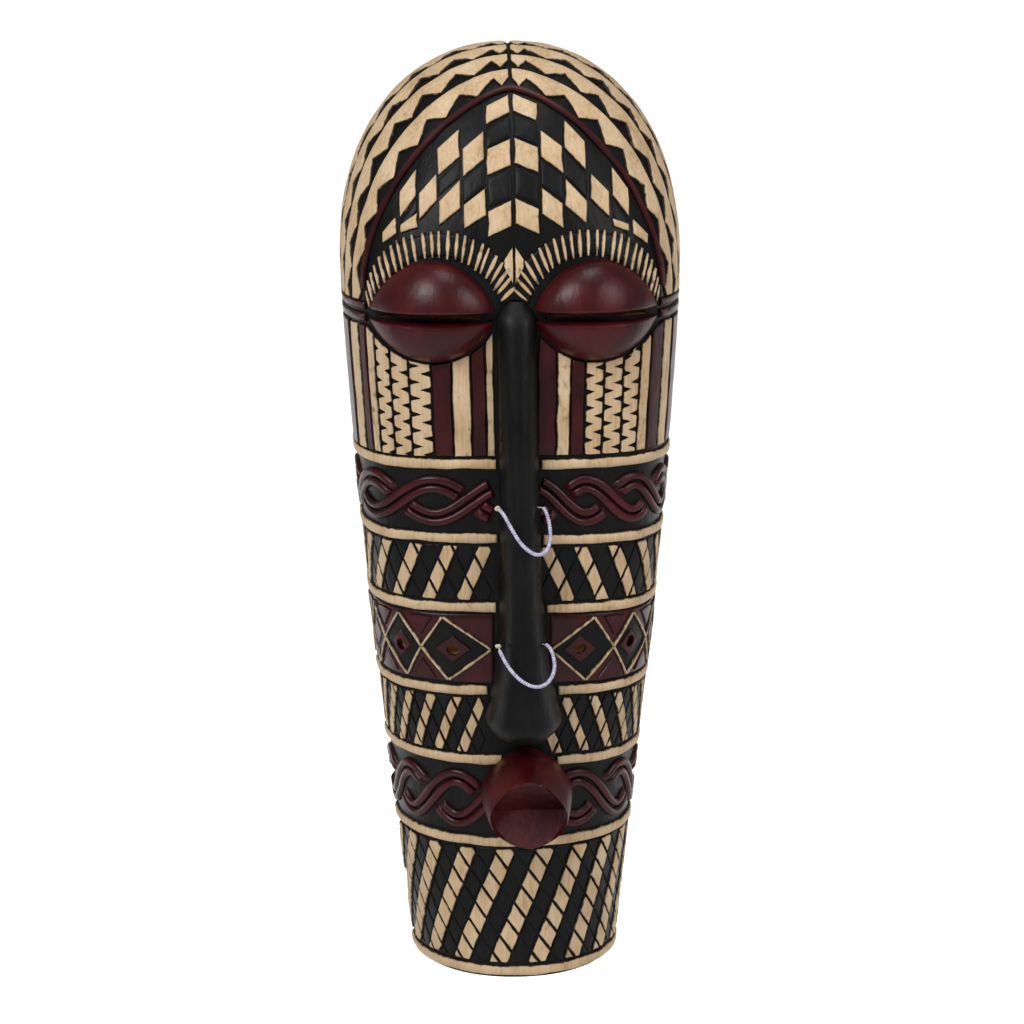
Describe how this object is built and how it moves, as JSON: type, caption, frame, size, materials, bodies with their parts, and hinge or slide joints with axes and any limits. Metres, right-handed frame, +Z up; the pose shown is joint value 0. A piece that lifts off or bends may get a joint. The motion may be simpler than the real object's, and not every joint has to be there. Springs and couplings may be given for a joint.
{
  "type": "carved wooden wall mask",
  "caption": "Tall hollow carved wall mask: dome forehead, slit eyes, long nose ridge, snout mouth, painted relief bands, two swinging bead strands and a ring hanger.",
  "frame": {"origin": "where the wall's nail bears on the hanger ring when the ring is turned up, on the mask's centre line in the plane of its back rim", "axes": "+X to the viewer's right, +Y into the wall, +Z up from chin to crown"},
  "size_m": [0.1834, 0.1141, 0.5018],
  "materials": {
    "black_paint": "satin black paint on carved wood",
    "cream_paint": "matt cream paint wiped thin over grain",
    "maroon_paint": "satin dark red-brown paint on carved wood",
    "cotton_thread": "twisted cotton",
    "glass_beads": "opaque lustred glass",
    "plated_steel": "dull zinc plate"
  },
  "bodies": {
    "mask": {"carved_shell": "black_paint", "nose_ridge": "black_paint", "mouth": "maroon_paint", "crown_arch": "maroon_paint", "chin_border": "cream_paint", "left_upper_lid": "maroon_paint", "left_lower_lid": "maroon_paint", "left_brow": "black_paint", "left_cream_stripes": "cream_paint", "left_maroon_stripes": "maroon_paint", "left_forehead_tiles": "cream_paint", "left_upper_braid": "maroon_paint", "left_lower_braid": "maroon_paint", "left_upper_lattice": "cream_paint", "left_lower_lattice": "cream_paint", "left_diamonds": "maroon_paint", "right_upper_lid": "maroon_paint", "right_lower_lid": "maroon_paint", "right_brow": "black_paint", "right_cream_stripes": "cream_paint", "right_maroon_stripes": "maroon_paint", "right_forehead_tiles": "cream_paint", "right_upper_braid": "maroon_paint", "right_lower_braid": "maroon_paint", "right_upper_lattice": "cream_paint", "right_lower_lattice": "cream_paint", "right_diamonds": "maroon_paint", "crown_border_1": "cream_paint", "crown_border_2": "cream_paint", "crown_border_3": "cream_paint", "crown_border_4": "cream_paint", "ridge_band_1": "cream_paint", "ridge_band_2": "cream_paint", "ridge_band_3": "cream_paint", "ridge_band_4": "cream_paint", "ridge_band_5": "cream_paint", "ridge_band_6": "cream_paint", "chin_lattice": "cream_paint", "hanger_strap": "plated_steel", "hanger_screws": "plated_steel"},
    "upper_strand": {"upper_thread": "cotton_thread", "upper_beads": "glass_beads", "upper_knot": "cotton_thread"},
    "lower_strand": {"lower_thread": "cotton_thread", "lower_beads": "glass_beads", "lower_knot": "cotton_thread"},
    "ring": {"hanger_ring": "plated_steel"}
  },
  "joints": [
    {"name": "upper_strand_swing", "type": "hinge", "parent": "mask", "child": "upper_strand", "pos_m": [0, -0.09484, -0.1974], "axis": [-1, 0, 0], "range_deg": [0, 65]},
    {"name": "lower_strand_swing", "type": "hinge", "parent": "mask", "child": "lower_strand", "pos_m": [0, -0.09859, -0.2702], "axis": [-1, 0, 0], "range_deg": [0, 100]},
    {"name": "hanger_ring_swing", "type": "hinge", "parent": "mask", "child": "ring", "pos_m": [0, -0.0026, -0.0162], "axis": [1, 0, 0], "range_deg": [0, 180]}
  ]
}
